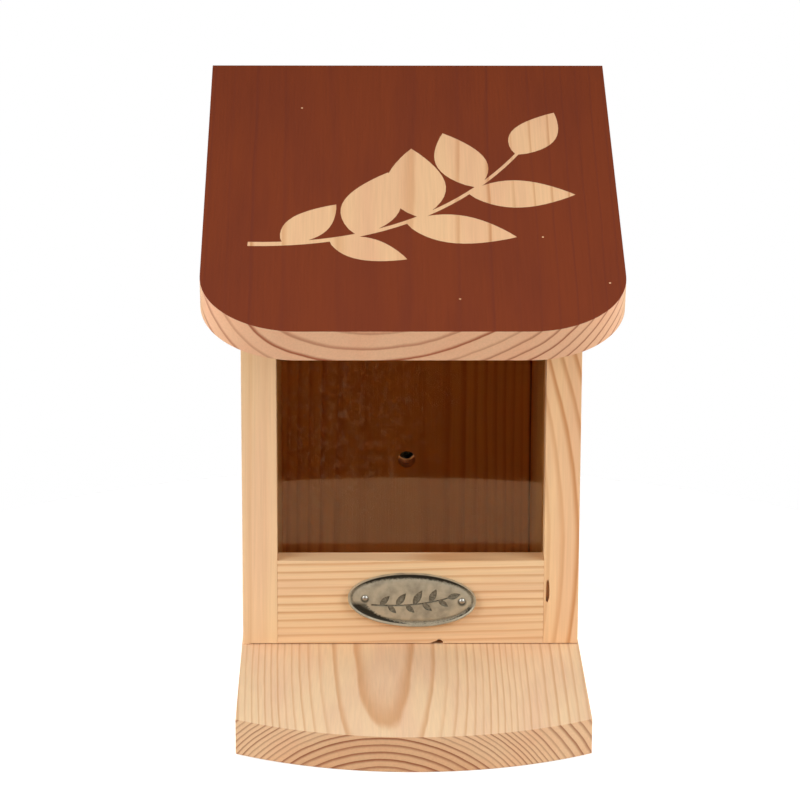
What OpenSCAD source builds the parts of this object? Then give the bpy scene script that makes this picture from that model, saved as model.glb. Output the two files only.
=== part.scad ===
// Wall or tree mounted squirrel feeder: a windowed wooden bin on a bowed tray, under a hinged sloping lid.
// The origin is the centre of the base board's underside, X to the right, Y from the tray to the back.

/* [Boards] */
// Thickness of the base, side and back boards
board_t = 15; // [12:0.5:20]
// Thickness of the lid board
lid_t = 14.5; // [11:0.5:20]
// Thickness of the front rail
rail_t = 12; // [8:0.5:18]

/* [Box] */
// Outside width over the two side boards
box_w = 145; // [125:1:190]
// Outside depth of the box, front face to back face
box_d = 139; // [110:1:180]
// Height of the side boards' front edge above the base board
side_h = 166; // [130:1:210]
// How far the base board stands out past each side board
base_lip = 0.5; // [0.2:0.1:2]

/* [Tray] */
// Length of the tray in front of the box, on the centre line
tray_l = 114; // [80:1:150]
// How far the tray's front edge bows out past its corners
tray_bow = 21; // [8:1:35]

/* [Window] */
// Height of the front rail
rail_h = 38; // [33:1:60]
// Thickness of the clear pane
pane_t = 2; // [1.5:0.1:4]
// Depth of the pane's grooves in the side boards
groove_depth = 5; // [3:0.5:8]
// Play of the pane in its grooves and below the lid
pane_play = 0.3; // [0.2:0.05:0.8]

/* [Lid] */
// Width of the lid board
lid_w = 176.5; // [155:0.5:230]
// Length of the lid board along its slope
lid_l = 214; // [170:0.5:270]
// Slope of the lid, in degrees
lid_slope = 20; // [10:1:30]
// Radius of the lid's two front corners
lid_corner_r = 41; // [10:1:60]

/* [Hinges] */
// Length of a hinge along its pin
hinge_l = 25; // [20:1:40]
// Distance of each hinge's middle from the centre line
hinge_x = 36; // [28:1:42]
// Width of a hinge leaf beside the knuckle
leaf_w = 10.5; // [8:0.5:12]
// Thickness of a hinge leaf
leaf_t = 1.2; // [0.8:0.1:2]
// Outside radius of the hinge knuckles
knuckle_r = 2.5; // [2.2:0.1:4]
// Radius of the hinge pins
pin_r = 1.2; // [0.8:0.1:1.5]
// Running clearance of the pins in their knuckles
pin_play = 0.05; // [0.02:0.01:0.08]
// Gap between knuckles, and from knuckles to what they turn past
knuckle_gap = 0.3; // [0.2:0.05:0.6]
// Radius of a pin's peened heads
pin_head_r = 2; // [1.8:0.1:2.2]
// Thickness of a pin's peened heads
pin_head_t = 0.8; // [0.5:0.1:1.5]

/* [Front plate] */
// Width of the oval plate
plate_w = 55.5; // [40:0.5:80]
// Height of the oval plate
plate_h = 24; // [16:0.5:28]
// Thickness of the plate's field
plate_t = 1.8; // [0.8:0.1:2.5]
// Width of the plate's raised rim
rim_w = 1; // [0.8:0.1:3]
// Height of the rim above the field
rim_t = 0.8; // [0.3:0.1:1.2]
// How far the plate sits to the right of the rail's middle
plate_x = 0.6; // [0:0.1:3]
// Height of the plate's middle above the base board
plate_z = 20.6; // [16:0.1:24]
// Tilt of the plate, in degrees
plate_tilt = 2; // [0:0.5:5]
// Mean distance of the plate nails from their ends of the plate
nail_inset = 6.8; // [5:0.1:9]
// How far the middle between the nails lies to the right of the plate's middle
nail_right = 0.6; // [0:0.1:2]
// How far the nails lie above the plate's middle
nail_rise = 0.3; // [0:0.1:2]
// Radius of a plate nail's shank
nail_r = 0.7; // [0.5:0.1:1]
// Length of a plate nail under its head
nail_l = 9; // [5:0.5:12]
// Radius of a plate nail's round head
nail_head_r = 1.3; // [1.2:0.1:2.5]

/* [Wood screws] */
// Radius of a wood screw's shank
screw_r = 1.6; // [1.2:0.1:2]
// Length of a wood screw, head included
screw_l = 32; // [26:1:40]
// Radius of a wood screw's countersunk head
screw_head_r = 3.2; // [2.6:0.1:3.8]
// Distance of the side boards' base screws from the box's front and back faces
base_screw_inset = 30; // [22:1:45]
// Distance of the rail's screws from its lower and upper edges
rail_screw_inset = 10; // [7:0.5:12]
// Height of the lowest back screw above the base board
back_screw_z = 24; // [18:1:40]
// Distance between back screws up each side board
back_screw_pitch = 62; // [40:1:70]
// How deep countersunk heads lie below the wood's face
head_sink = 0.3; // [0.2:0.1:1]
// Play of a fastener in its hole
hole_play = 0.05; // [0.02:0.01:0.1]

/* [Hinge screws] */
// Radius of a hinge screw's shank
hinge_screw_r = 1.1; // [0.8:0.1:1.4]
// Length of a hinge screw under its head
hinge_screw_l = 12; // [8:0.5:13]
// Radius of a hinge screw's flat round head
hinge_head_r = 2.2; // [1.8:0.1:2.6]
// Height of a hinge screw's head
hinge_head_t = 1.1; // [0.8:0.1:1.6]
// Distance between the two screws of one leaf
hinge_screw_gap = 14; // [10:0.5:16]

/* [Hanging holes] */
// Radius of the two holes through the back board
hang_r = 4; // [2.5:0.25:5]
// Height of the lower hole above the base board
hang_z = 47.5; // [40:0.5:60]
// Distance between the lower and the upper hole
hang_gap = 100; // [60:1:110]

/* [Hidden] */
$fn = 64;

wood = "#EBC08F";
stain = "#7F3C24";
clear_sheet = [0.85, 0.9, 0.9, 0.3];
zinc = "#A9A79C";
steel = "#C3C0B6";

// Margin by which a cutter passes the face that it opens
cut = 1;
// Width and depth of a screw head's cross recess
recess_w = 0.7;
recess_depth = 0.8;
// Half length of a cross recess as a part of the head's radius
recess_reach = 0.6;
// Radius of a nail head's dome as a part of the head's radius
dome_ratio = 1.25;
// Sides of the plate's oval, of the tray's bow as a full circle and of a lid corner as one
ellipse_points = 72;
bow_sides = 240;
corner_sides = 128;
// Knuckles along a hinge, and back screws up each side board
knuckles = 3;
back_screw_rows = 3;

// Main planes
front_y = (tray_l - box_d) / 2;
back_y = (tray_l + box_d) / 2;
tray_y = -back_y;
inner_w = box_w - 2 * board_t;
base_w = box_w + 2 * base_lip;
slope_rise = tan(lid_slope);
lid_back_z = board_t + side_h + box_d * slope_rise;

// Tray front: one arc through both corners and the middle
bow_r = (pow(base_w / 2, 2) + pow(tray_bow, 2)) / (2 * tray_bow);

// Pane, just behind the rail
pane_y = front_y + rail_t + pane_play;
pane_w = inner_w + 2 * (groove_depth - pane_play);
pane_top_z = lid_z(pane_y) - pane_play;

// Hinge axis: as far from the back board's face as from the lid's end face
axis_out = knuckle_r + knuckle_gap;
axis_y = back_y + axis_out;
axis_drop = axis_out * tan(lid_slope / 2);
axis_z = lid_back_z + axis_drop;
knuckle_l = (hinge_l - (knuckles - 1) * knuckle_gap) / knuckles;
// Distances from the axis at which a leaf's tongue and its full width start, and its middle
tongue_start = 0.6;
leaf_start = axis_out;
leaf_middle = leaf_start + leaf_w / 2;

// Height of the lid's underside over a place between front and back
function lid_z(y) = lid_back_z - (back_y - y) * slope_rise;

function ellipse(w, h) = [
    for (i = [0:ellipse_points - 1])
        let (a = 360 * i / ellipse_points)
        [w / 2 * cos(a), h / 2 * sin(a)]
];

// Places of the fasteners
side_x = box_w / 2 - board_t / 2;
base_screw_xy = [
    [-side_x, front_y + base_screw_inset],
    [-side_x, back_y - base_screw_inset],
    [side_x, front_y + base_screw_inset],
    [side_x, back_y - base_screw_inset],
    [0, front_y + rail_t / 2],
    [0, back_y - board_t / 2]
];
rail_screw_zs = [board_t + rail_screw_inset, board_t + rail_h - rail_screw_inset];
back_screw_zs = [for (i = [0:back_screw_rows - 1]) board_t + back_screw_z + i * back_screw_pitch];
hang_zs = [board_t + hang_z, board_t + hang_z + hang_gap];

// A profile drawn in the plane of Y and Z, carried along X from x0 to x1
module along_x(x0, x1) {
    translate([x0, 0, 0])
        rotate([90, 0, 90])
            linear_extrude(x1 - x0)
                children();
}

// Moves what is drawn on the lid to its sloping place: y runs up to the back end, z from the underside
module on_lid() {
    translate([0, back_y, lid_back_z])
        rotate([lid_slope, 0, 0])
            children();
}

// Cross recess in a head whose outer face is at z = 0, head below
module cross_recess(head_r) {
    for (a = [0, 90])
        rotate([0, 0, a])
            translate([-head_r * recess_reach, -recess_w / 2, -recess_depth])
                cube([2 * head_r * recess_reach, recess_w, recess_depth + cut]);
}

// Countersunk wood screw with its head's face at z = 0, pointing down
module wood_screw() {
    sink = screw_head_r - screw_r;
    difference() {
        union() {
            translate([0, 0, -sink])
                cylinder(h = sink, r1 = screw_r, r2 = screw_head_r);
            translate([0, 0, -screw_l])
                cylinder(h = screw_l - sink, r = screw_r);
        }
        cross_recess(screw_head_r);
    }
}

// Hole for one wood screw, with its head's seat, open above the wood's face
module wood_screw_hole() {
    r = screw_r + hole_play;
    head = screw_head_r + hole_play;
    translate([0, 0, r - head])
        cylinder(h = head - r, r1 = r, r2 = head);
    translate([0, 0, -screw_l - hole_play])
        cylinder(h = screw_l, r = r);
    cylinder(h = head_sink + cut, r = head);
}

// Flat-headed hinge screw, its head standing on z = 0, pointing down
module hinge_screw() {
    difference() {
        union() {
            cylinder(h = hinge_head_t, r = hinge_head_r);
            translate([0, 0, -hinge_screw_l])
                cylinder(h = hinge_screw_l + hinge_head_t / 2, r = hinge_screw_r);
        }
        translate([0, 0, hinge_head_t])
            cross_recess(hinge_head_r);
    }
}

module hinge_screw_hole() {
    translate([0, 0, -hinge_screw_l - hole_play])
        cylinder(h = hinge_screw_l + hole_play + cut, r = hinge_screw_r + hole_play);
}

// The same fastener at every place of its pattern
module at_base_screws() {
    for (p = base_screw_xy)
        translate([p[0], p[1], head_sink])
            rotate([180, 0, 0])
                children();
}

module at_side_screws(y, zs, sides) {
    for (s = sides)
        for (z = zs)
            translate([s * (box_w / 2 - head_sink), y, z])
                rotate([0, s * 90, 0])
                    children();
}

module at_rail_screws(sides) {
    at_side_screws(front_y + rail_t / 2, rail_screw_zs, sides)
        children();
}

module at_back_screws(sides) {
    at_side_screws(back_y - board_t / 2, back_screw_zs, sides)
        children();
}

// Places on the back face of a box leaf, for the hinges on the given sides
module at_box_leaf_screws(sides) {
    for (s = sides)
        for (t = [-1, 1])
            translate([s * hinge_x + t * hinge_screw_gap / 2, back_y + leaf_t, axis_z - leaf_middle])
                rotate([-90, 0, 0])
                    children();
}

// Places on the outer face of a lid leaf, in the lid's own frame
module at_lid_leaf_screws(sides) {
    for (s = sides)
        for (t = [-1, 1])
            translate([s * hinge_x + t * hinge_screw_gap / 2, leaf_t, leaf_middle - axis_drop])
                rotate([-90, 0, 0])
                    children();
}

module at_plate_nails() {
    translate([plate_x, front_y, board_t + plate_z])
        rotate([0, plate_tilt, 0])
            for (t = [-1, 1])
                translate([nail_right + t * (plate_w / 2 - nail_inset), -plate_t, nail_rise])
                    rotate([90, 0, 0])
                        children();
}

module plate_nail_hole() {
    translate([0, 0, -nail_l - hole_play])
        cylinder(h = nail_l + hole_play + cut, r = nail_r + hole_play);
}

// Floor of the bin and tray in one board, its front edge bowed
module base_board() {
    color(wood)
        difference() {
            linear_extrude(board_t) {
                translate([-base_w / 2, tray_y + tray_bow])
                    square([base_w, tray_l + box_d - tray_bow]);
                intersection() {
                    translate([0, tray_y + bow_r])
                        circle(r = bow_r, $fn = bow_sides);
                    translate([-base_w / 2, tray_y])
                        square([base_w, tray_bow + cut]);
                }
            }
            at_base_screws()
                wood_screw_hole();
        }
}

// The right side board, with its sloping top edge, the pane's groove and its fastener holes
module right_side() {
    color(wood)
        difference() {
            along_x(inner_w / 2, box_w / 2)
                polygon([
                    [front_y, board_t],
                    [back_y, board_t],
                    [back_y, lid_back_z],
                    [front_y, lid_z(front_y)]
                ]);
            translate([inner_w / 2 - cut, pane_y - pane_play, board_t - cut])
                cube([groove_depth + cut, pane_t + 2 * pane_play, lid_back_z]);
            at_base_screws()
                wood_screw_hole();
            at_rail_screws([1])
                wood_screw_hole();
            at_back_screws([1])
                wood_screw_hole();
        }
}

module left_side() {
    mirror([1, 0, 0])
        right_side();
}

// Back board between the sides, its top edge sloping with the lid, with two hanging holes
module back_board() {
    color(wood)
        difference() {
            along_x(-inner_w / 2, inner_w / 2)
                polygon([
                    [back_y - board_t, board_t],
                    [back_y, board_t],
                    [back_y, lid_back_z],
                    [back_y - board_t, lid_z(back_y - board_t)]
                ]);
            for (z = hang_zs)
                translate([0, back_y + cut, z])
                    rotate([90, 0, 0])
                        cylinder(h = board_t + 2 * cut, r = hang_r);
            at_base_screws()
                wood_screw_hole();
            at_back_screws([-1, 1])
                wood_screw_hole();
            at_box_leaf_screws([-1, 1])
                hinge_screw_hole();
        }
}

// Low board that closes the bin below the window
module front_rail() {
    color(wood)
        difference() {
            translate([-inner_w / 2, front_y, board_t])
                cube([inner_w, rail_t, rail_h]);
            at_base_screws()
                wood_screw_hole();
            at_rail_screws([-1, 1])
                wood_screw_hole();
            at_plate_nails()
                plate_nail_hole();
        }
}

// Clear sheet that stands on the base board in the side boards' grooves
module window_pane() {
    color(clear_sheet)
        translate([-pane_w / 2, pane_y, board_t])
            cube([pane_w, pane_t, pane_top_z - board_t]);
}

// Sloping lid board with round front corners
module lid_board() {
    color(stain)
        on_lid()
            difference() {
                linear_extrude(lid_t)
                    union() {
                        translate([-lid_w / 2, lid_corner_r - lid_l])
                            square([lid_w, lid_l - lid_corner_r]);
                        translate([lid_corner_r - lid_w / 2, -lid_l])
                            square([lid_w - 2 * lid_corner_r, lid_l]);
                        for (s = [-1, 1])
                            translate([s * (lid_w / 2 - lid_corner_r), lid_corner_r - lid_l])
                                circle(r = lid_corner_r, $fn = corner_sides);
                    }
                at_lid_leaf_screws([-1, 1])
                    hinge_screw_hole();
            }
}

// Knuckle of length l along X, centred, with its bore
module knuckle(l) {
    rotate([0, 90, 0])
        difference() {
            cylinder(h = l, r = knuckle_r, center = true);
            cylinder(h = l + 2 * cut, r = pin_r + pin_play, center = true);
        }
}

// Tongue that joins a knuckle to its leaf, at the wood's side of the knuckle and running down
module tongue(l) {
    difference() {
        translate([-l / 2, -axis_out, -leaf_middle])
            cube([l, leaf_t, leaf_middle - tongue_start]);
        rotate([0, 90, 0])
            cylinder(h = l + 2 * cut, r = pin_r + pin_play, center = true);
    }
}

// One leaf about the hinge axis: the flat part runs down, its knuckles are centred at the given places
module leaf(knuckle_xs) {
    translate([-hinge_l / 2, -axis_out, -leaf_start - leaf_w])
        cube([hinge_l, leaf_t, leaf_w]);
    for (x = knuckle_xs)
        translate([x, 0, 0]) {
            knuckle(knuckle_l);
            tongue(knuckle_l);
        }
}

// Leaf on the back board's outer face, with the two outer knuckles
module box_leaf(s) {
    pitch = knuckle_l + knuckle_gap;
    color(steel)
        difference() {
            translate([s * hinge_x, axis_y, axis_z])
                leaf([-pitch, pitch]);
            at_box_leaf_screws([s])
                hinge_screw_hole();
        }
}

// Leaf on the lid's end face, with the middle knuckle
module lid_leaf(s) {
    color(steel)
        on_lid()
            difference() {
                translate([s * hinge_x, axis_out, -axis_drop])
                    mirror([0, 0, 1])
                        leaf([0]);
                at_lid_leaf_screws([s])
                    hinge_screw_hole();
            }
}

module left_hinge_box_leaf() {
    box_leaf(-1);
}

module right_hinge_box_leaf() {
    box_leaf(1);
}

module left_hinge_lid_leaf() {
    lid_leaf(-1);
}

module right_hinge_lid_leaf() {
    lid_leaf(1);
}

// Hinge pin with a peened head at each end
module hinge_pin(s) {
    color(zinc)
        translate([s * hinge_x, axis_y, axis_z])
            rotate([0, 90, 0]) {
                cylinder(h = hinge_l + pin_head_t, r = pin_r, center = true);
                for (t = [-1, 1])
                    translate([0, 0, t * (hinge_l + pin_head_t) / 2])
                        cylinder(h = pin_head_t, r = pin_head_r, center = true);
            }
}

module left_hinge_pin() {
    hinge_pin(-1);
}

module right_hinge_pin() {
    hinge_pin(1);
}

module hinge_box_screws() {
    color(steel)
        at_box_leaf_screws([-1, 1])
            hinge_screw();
}

module hinge_lid_screws() {
    color(steel)
        on_lid()
            at_lid_leaf_screws([-1, 1])
                hinge_screw();
}

// Plain oval plate with a raised rim
module front_plate() {
    color(zinc)
        difference() {
            translate([plate_x, front_y, board_t + plate_z])
                rotate([0, plate_tilt, 0])
                    rotate([90, 0, 0]) {
                        linear_extrude(plate_t)
                            polygon(ellipse(plate_w, plate_h));
                        linear_extrude(plate_t + rim_t)
                            difference() {
                                polygon(ellipse(plate_w, plate_h));
                                polygon(ellipse(plate_w - 2 * rim_w, plate_h - 2 * rim_w));
                            }
                    }
            at_plate_nails()
                plate_nail_hole();
        }
}

// Round-headed nails that hold the plate
module plate_nails() {
    dome_r = nail_head_r * dome_ratio;
    dome_drop = sqrt(pow(dome_r, 2) - pow(nail_head_r, 2));
    color(steel)
        at_plate_nails()
            union() {
                intersection() {
                    translate([0, 0, -dome_drop])
                        sphere(r = dome_r);
                    cylinder(h = dome_r, r = nail_head_r);
                }
                translate([0, 0, -nail_l])
                    cylinder(h = nail_l + (dome_r - dome_drop) / 2, r = nail_r);
            }
}

module base_screws() {
    color(steel)
        at_base_screws()
            wood_screw();
}

module rail_screws() {
    color(steel)
        at_rail_screws([-1, 1])
            wood_screw();
}

module back_screws() {
    color(steel)
        at_back_screws([-1, 1])
            wood_screw();
}

base_board();
left_side();
right_side();
back_board();
front_rail();
window_pane();
lid_board();
left_hinge_box_leaf();
right_hinge_box_leaf();
left_hinge_lid_leaf();
right_hinge_lid_leaf();
left_hinge_pin();
right_hinge_pin();
hinge_box_screws();
hinge_lid_screws();
front_plate();
plate_nails();
base_screws();
rail_screws();
back_screws();
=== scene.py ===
"""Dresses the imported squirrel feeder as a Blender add-on file that is run as a script.

The boards get eased arrises and sawn softwood, the lid a brown stain with a leaf sprig left bare,
the window clear acrylic, the oval plate aged zinc, and the fittings zinc-plated steel.
"""

import math
from typing import NamedTuple

import bmesh
import bpy
from bpy.props import FloatProperty, FloatVectorProperty, PointerProperty
from mathutils import Euler, Matrix, Vector
from mathutils.geometry import delaunay_2d_cdt


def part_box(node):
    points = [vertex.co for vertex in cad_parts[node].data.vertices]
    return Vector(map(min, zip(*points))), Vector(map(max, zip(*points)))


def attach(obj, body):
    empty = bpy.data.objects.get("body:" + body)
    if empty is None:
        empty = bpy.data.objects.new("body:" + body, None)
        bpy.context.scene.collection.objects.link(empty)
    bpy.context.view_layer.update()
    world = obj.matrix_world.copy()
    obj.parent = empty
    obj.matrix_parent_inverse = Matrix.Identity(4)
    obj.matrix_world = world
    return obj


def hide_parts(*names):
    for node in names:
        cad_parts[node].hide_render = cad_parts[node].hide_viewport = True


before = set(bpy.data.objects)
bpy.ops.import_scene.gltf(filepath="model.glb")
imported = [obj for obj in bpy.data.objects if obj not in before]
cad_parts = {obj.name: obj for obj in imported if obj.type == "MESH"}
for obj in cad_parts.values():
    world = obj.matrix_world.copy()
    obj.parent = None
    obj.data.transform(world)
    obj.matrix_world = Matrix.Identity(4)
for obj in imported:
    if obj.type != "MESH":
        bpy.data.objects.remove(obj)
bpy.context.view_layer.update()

bl_info = {
    "name": "Squirrel feeder",
    "version": (1, 0, 0),
    "blender": (4, 5, 0),
    "location": "View3D > Sidebar > Feeder",
    "description": "Makes the boards, lid, window, plate and studio of a wooden squirrel feeder",
    "category": "Object",
}

MM = 0.001
BOX_BODY = "box"
LID_BODY = "lid"


def linear(hex_colour):
    """Linear red, green and blue of an sRGB hex colour."""
    shown = [int(hex_colour[i : i + 2], 16) / 255 for i in (1, 3, 5)]
    return [c / 12.92 if c <= 0.04045 else ((c + 0.055) / 1.055) ** 2.4 for c in shown]


def rgba(colour):
    """A colour property or list with full alpha, as a colour socket takes it."""
    return (colour[0], colour[1], colour[2], 1.0)


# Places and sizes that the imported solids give

LID_SLOPE = math.radians(20)
LID_THICKNESS = 14.5 * MM
LID_LOW, LID_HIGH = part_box("lid_board")
BACK_LOW, BACK_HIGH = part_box("back_board")
RAIL_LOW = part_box("front_rail")[0]
PLATE_LOW, PLATE_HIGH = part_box("front_plate")
PANE_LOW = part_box("window_pane")[0]
LID_LENGTH = (BACK_HIGH.y - LID_LOW.y - LID_THICKNESS * math.sin(LID_SLOPE)) / math.cos(LID_SLOPE)
LID_FRAME = Matrix.Translation((0, BACK_HIGH.y, BACK_HIGH.z)) @ Matrix.Rotation(LID_SLOPE, 4, "X")


# Settings

COLOUR = {"subtype": "COLOR", "size": 3, "min": 0.0, "max": 1.0}
LENGTH = {"subtype": "DISTANCE", "unit": "LENGTH", "min": 0.0}
POWER = {"subtype": "POWER", "min": 0.0}


class FeederBoards(bpy.types.PropertyGroup):
    """Sizes and colours of the bare softwood boards."""

    ease: FloatProperty(
        name="Arris radius",
        description="Rounding of the boards' and the window's long edges",
        default=0.25 * MM,
        **LENGTH,
    )
    early: FloatVectorProperty(
        name="Early wood",
        description="Pale wood between the growth lines",
        default=linear("#F2CEA0"),
        **COLOUR,
    )
    late: FloatVectorProperty(
        name="Late wood", description="Growth lines on planed faces", default=linear("#CF935E"), **COLOUR
    )
    end_early: FloatVectorProperty(
        name="End grain", description="Pale wood on sawn ends", default=linear("#EBBE93"), **COLOUR
    )
    end_late: FloatVectorProperty(
        name="End lines", description="Growth lines on sawn ends", default=linear("#9C5933"), **COLOUR
    )
    blush: FloatVectorProperty(
        name="Blush",
        description="Pinker tone that drifts through the boards",
        default=linear("#E8B893"),
        **COLOUR,
    )
    # Painted shade: this tone darkens and browns the wood inside the bin, most of all at the back
    brown: FloatVectorProperty(
        name="Inside shade",
        description="Tone that multiplies the wood inside the bin",
        default=linear("#FFD79E"),
        **COLOUR,
    )


class FeederLid(bpy.types.PropertyGroup):
    """Sizes and colours of the stained lid."""

    corner: FloatProperty(
        name="Corner radius", description="Radius of the two front corners", default=41 * MM, **LENGTH
    )
    stain: FloatVectorProperty(
        name="Stain", description="Brown stain on the pale wood", default=linear("#803A1A"), **COLOUR
    )
    stain_late: FloatVectorProperty(
        name="Stained lines", description="Stain on the growth lines", default=linear("#74331C"), **COLOUR
    )


class FeederPlate(bpy.types.PropertyGroup):
    """Sizes and colours of the oval plate."""

    width: FloatProperty(name="Width", description="Long axis of the oval", default=55.5 * MM, **LENGTH)
    height: FloatProperty(name="Height", description="Short axis of the oval", default=24 * MM, **LENGTH)
    tilt: FloatProperty(
        name="Tilt",
        description="How far the plate hangs askew",
        default=math.radians(2),
        subtype="ANGLE",
    )
    zinc: FloatVectorProperty(
        name="Zinc", description="Rubbed metal of the rim and field", default=linear("#BDB49D"), **COLOUR
    )
    # This dark colour also paints the shade on the rim and round the nails
    patina: FloatVectorProperty(
        name="Patina", description="Dark oxide in the hollows", default=linear("#2B2618"), **COLOUR
    )


class FeederFittings(bpy.types.PropertyGroup):
    """Colours of the window and the steel fittings."""

    # Besides the sheet's own faint tone, this warmth browns what is seen through it, adding to the
    # painted shade inside the bin
    acrylic: FloatVectorProperty(
        name="Acrylic", description="Faint warm tone of the sheet", default=linear("#F7E0B8"), **COLOUR
    )
    reflection: FloatVectorProperty(
        name="Reflection", description="Tint of what is mirrored", default=linear("#FFCEA2"), **COLOUR
    )
    steel: FloatVectorProperty(
        name="Steel", description="Zinc plating on the fittings", default=linear("#C9C7BF"), **COLOUR
    )


class FeederStage(bpy.types.PropertyGroup):
    """Floor, light and camera."""

    floor_radius: FloatProperty(
        name="Floor radius", description="Radius of the round floor", default=300 * MM, **LENGTH
    )
    floor_y: FloatProperty(
        name="Floor centre",
        description="Place of the floor's centre along Y",
        default=8 * MM,
        unit="LENGTH",
    )
    top_power: FloatProperty(name="Top power", description="Panel above the lid", default=1.35, **POWER)
    front_power: FloatProperty(
        name="Front power", description="Panel above the camera", default=0.5, **POWER
    )
    side_power: FloatProperty(
        name="Side power", description="Panels on the left and right", default=3.3, **POWER
    )
    rear_power: FloatProperty(
        name="Rear power", description="Low panels beside the back", default=2.2, **POWER
    )
    sheen_power: FloatProperty(
        name="Sheen power", description="Strip that gives the lid its sheen", default=0.15, **POWER
    )
    ambient: FloatProperty(
        name="Ambient", description="Light from all round above the floor", default=0.04, min=0.0
    )
    camera_place: FloatVectorProperty(
        name="Camera",
        description="Place of the camera",
        default=(-0.025293, -1.487906, 0.528810),
        subtype="TRANSLATION",
        unit="LENGTH",
    )
    camera_turn: FloatVectorProperty(
        name="Camera turn",
        description="Yaw, downward pitch and roll",
        default=[math.radians(a) for a in (0.7935, 15.3124, 0.1811)],
        subtype="EULER",
        unit="ROTATION",
    )
    lens: FloatProperty(
        name="Lens", description="Focal length in mm on a 36 mm frame", default=161.735, min=1.0
    )


# Shader nodes

# Settings of a node that mixes two colours, of one that multiplies the first, and of a soft ramp
MIXED = {"data_type": "RGBA"}
MULTIPLIED = {"data_type": "RGBA", "blend_type": "MULTIPLY"}
SOFT = {"interpolation_type": "SMOOTHSTEP"}


def new_tree(name):
    """A material with an empty node tree."""
    material = bpy.data.materials.new(name)
    material.use_nodes = True
    material.node_tree.nodes.clear()
    return material, material.node_tree


def add(tree, kind, inputs=(), **settings):
    """Adds one shader node, sets its own settings, and sets or links its inputs.

    An input goes by its number, or by its name among those in use. A node given as an input's value
    is linked from the first of its outputs in use, and a socket from itself.
    """
    made = tree.nodes.new("ShaderNode" + kind)
    for name, value in settings.items():
        setattr(made, name, value)
    named = {s.name: s for s in reversed(made.inputs) if s.enabled}
    for key, value in dict(inputs).items():
        socket = named[key] if key in named else made.inputs[key]
        if isinstance(value, bpy.types.Node):
            value = next(s for s in value.outputs if s.enabled)
        if isinstance(value, bpy.types.NodeSocket):
            tree.links.new(value, socket)
        else:
            socket.default_value = value
    return made


def mm_within(tree, matrix):
    """A point's coordinates in mm within a frame, and its coordinates on the feeder."""
    point = add(tree, "TexCoord")
    inputs = {
        "Vector": point.outputs["Object"],
        "Location": matrix.to_translation(),
        "Rotation": matrix.to_euler(),
        "Scale": (MM, MM, MM),
    }
    return add(tree, "Mapping", inputs, vector_type="TEXTURE"), point


# Softwood


class Cut(NamedTuple):
    """How a board lay in its log, in mm and degrees: where its rings run, how they look and its tone.

    The log is turned by turn_deg about its pith, which bows by bow_mm and wanders by wander_mm.
    All rings are ring_mm wide, or, where narrows_at_mm is given, they narrow outwards and have that
    width at that radius. Lean years between two radii add some rings. The phase is the ring count
    at the pith: its whole part picks how strong each year's line is. Oval is a ring's width over its
    height. A line is line_mm wide on planed faces, and rises over a part end_rise of its ring on
    sawn ends, where its tone is line_tint. Redder heartwood reaches heart_mm from the pith.
    """

    pith_mm: tuple
    ring_mm: float
    phase: float
    wander_mm: float
    line_mm: float
    strength: float
    tint: tuple
    end_tint: tuple = (0.95, 0.95, 0.95)
    turn_deg: tuple = (0, 0, 0)
    bow_mm: tuple = (0, 0)
    narrows_at_mm: float = 0
    lean: tuple = ()
    heart_mm: float = 0
    end_rise: float = 0.45
    line_tint: tuple = (1, 1, 1)
    oval: float = 1


BARE_BOARDS = ("base_board", "left_side", "right_side", "back_board", "front_rail")
CUTS = {
    "base_board": Cut(
        pith_mm=(-12, -110, -43.5),
        turn_deg=(-88.31, 0, 0),
        bow_mm=(0, 1.41),
        ring_mm=3.2,
        lean=(55, 88, 5.5),
        phase=59.417,
        wander_mm=0.4,
        line_mm=1.0,
        strength=0.7,
        tint=(1.0, 1.045, 1.13),
        end_tint=(0.915, 0.95, 0.95),
        heart_mm=66,
    ),
    "left_side": Cut(
        pith_mm=(-90, -10, 60),
        turn_deg=(0, 0.5, 0),
        ring_mm=6.5,
        phase=0.5,
        wander_mm=1.0,
        line_mm=3.0,
        strength=0.3,
        tint=(1.0, 1.01, 1.01),
    ),
    "right_side": Cut(
        pith_mm=(20, -8, 60),
        bow_mm=(-19, 0),
        ring_mm=5.7,
        phase=372.605,
        wander_mm=1.2,
        line_mm=2.2,
        strength=0.95,
        tint=(1.0, 0.95, 0.9),
    ),
    "back_board": Cut(
        pith_mm=(-6, 70, 110),
        turn_deg=(0.6, 0.4, 0),
        ring_mm=3.0,
        narrows_at_mm=70,
        phase=0.2,
        wander_mm=0.8,
        line_mm=1.4,
        strength=0.8,
        tint=(1.0, 0.97, 0.94),
        end_tint=(0.95, 0.93, 0.9),
    ),
    "front_rail": Cut(
        pith_mm=(0, -9, -78),
        turn_deg=(0, 88.6, 0),
        ring_mm=3.6,
        phase=0.5,
        wander_mm=0.6,
        line_mm=1.4,
        strength=0.9,
        tint=(0.97, 0.97, 0.97),
    ),
    "lid_board": Cut(
        pith_mm=(-6.7, 0, 43.5),
        turn_deg=(-90.4, -14.55, 0),
        oval=1.58,
        ring_mm=5.04,
        narrows_at_mm=50,
        phase=498.946,
        wander_mm=0.6,
        line_mm=0.75,
        strength=0.8,
        tint=(0.93, 0.83, 0.78),
        end_tint=(1.01, 0.94, 0.97),
        end_rise=0.24,
        line_tint=(1.1, 0.9, 0.82),
    ),
}
# Where a ring is darkest, as a part of it from its inner side, and how the dark falls off outwards
DARKEST = 0.78
FALL_PART = 0.4
# On sawn ends the dark falls off over this part of each ring
END_FALL = 0.1
# The faintest year's line, as a part of the strongest
FAINTEST = 0.35
# The pith's bow is given at this distance along the log
BOW_AT_MM = 100

# Sizes of the wood's patterns in mm: across the grain and along it
WANDER_SIZE = (26, 140)
BLUSH_SIZE = (16, 110)
# Real fibres are a tenth of this width, too fine to show, so they are drawn as coarse as a pixel or two
FIBRE_SIZE = (0.8, 34)
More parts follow.
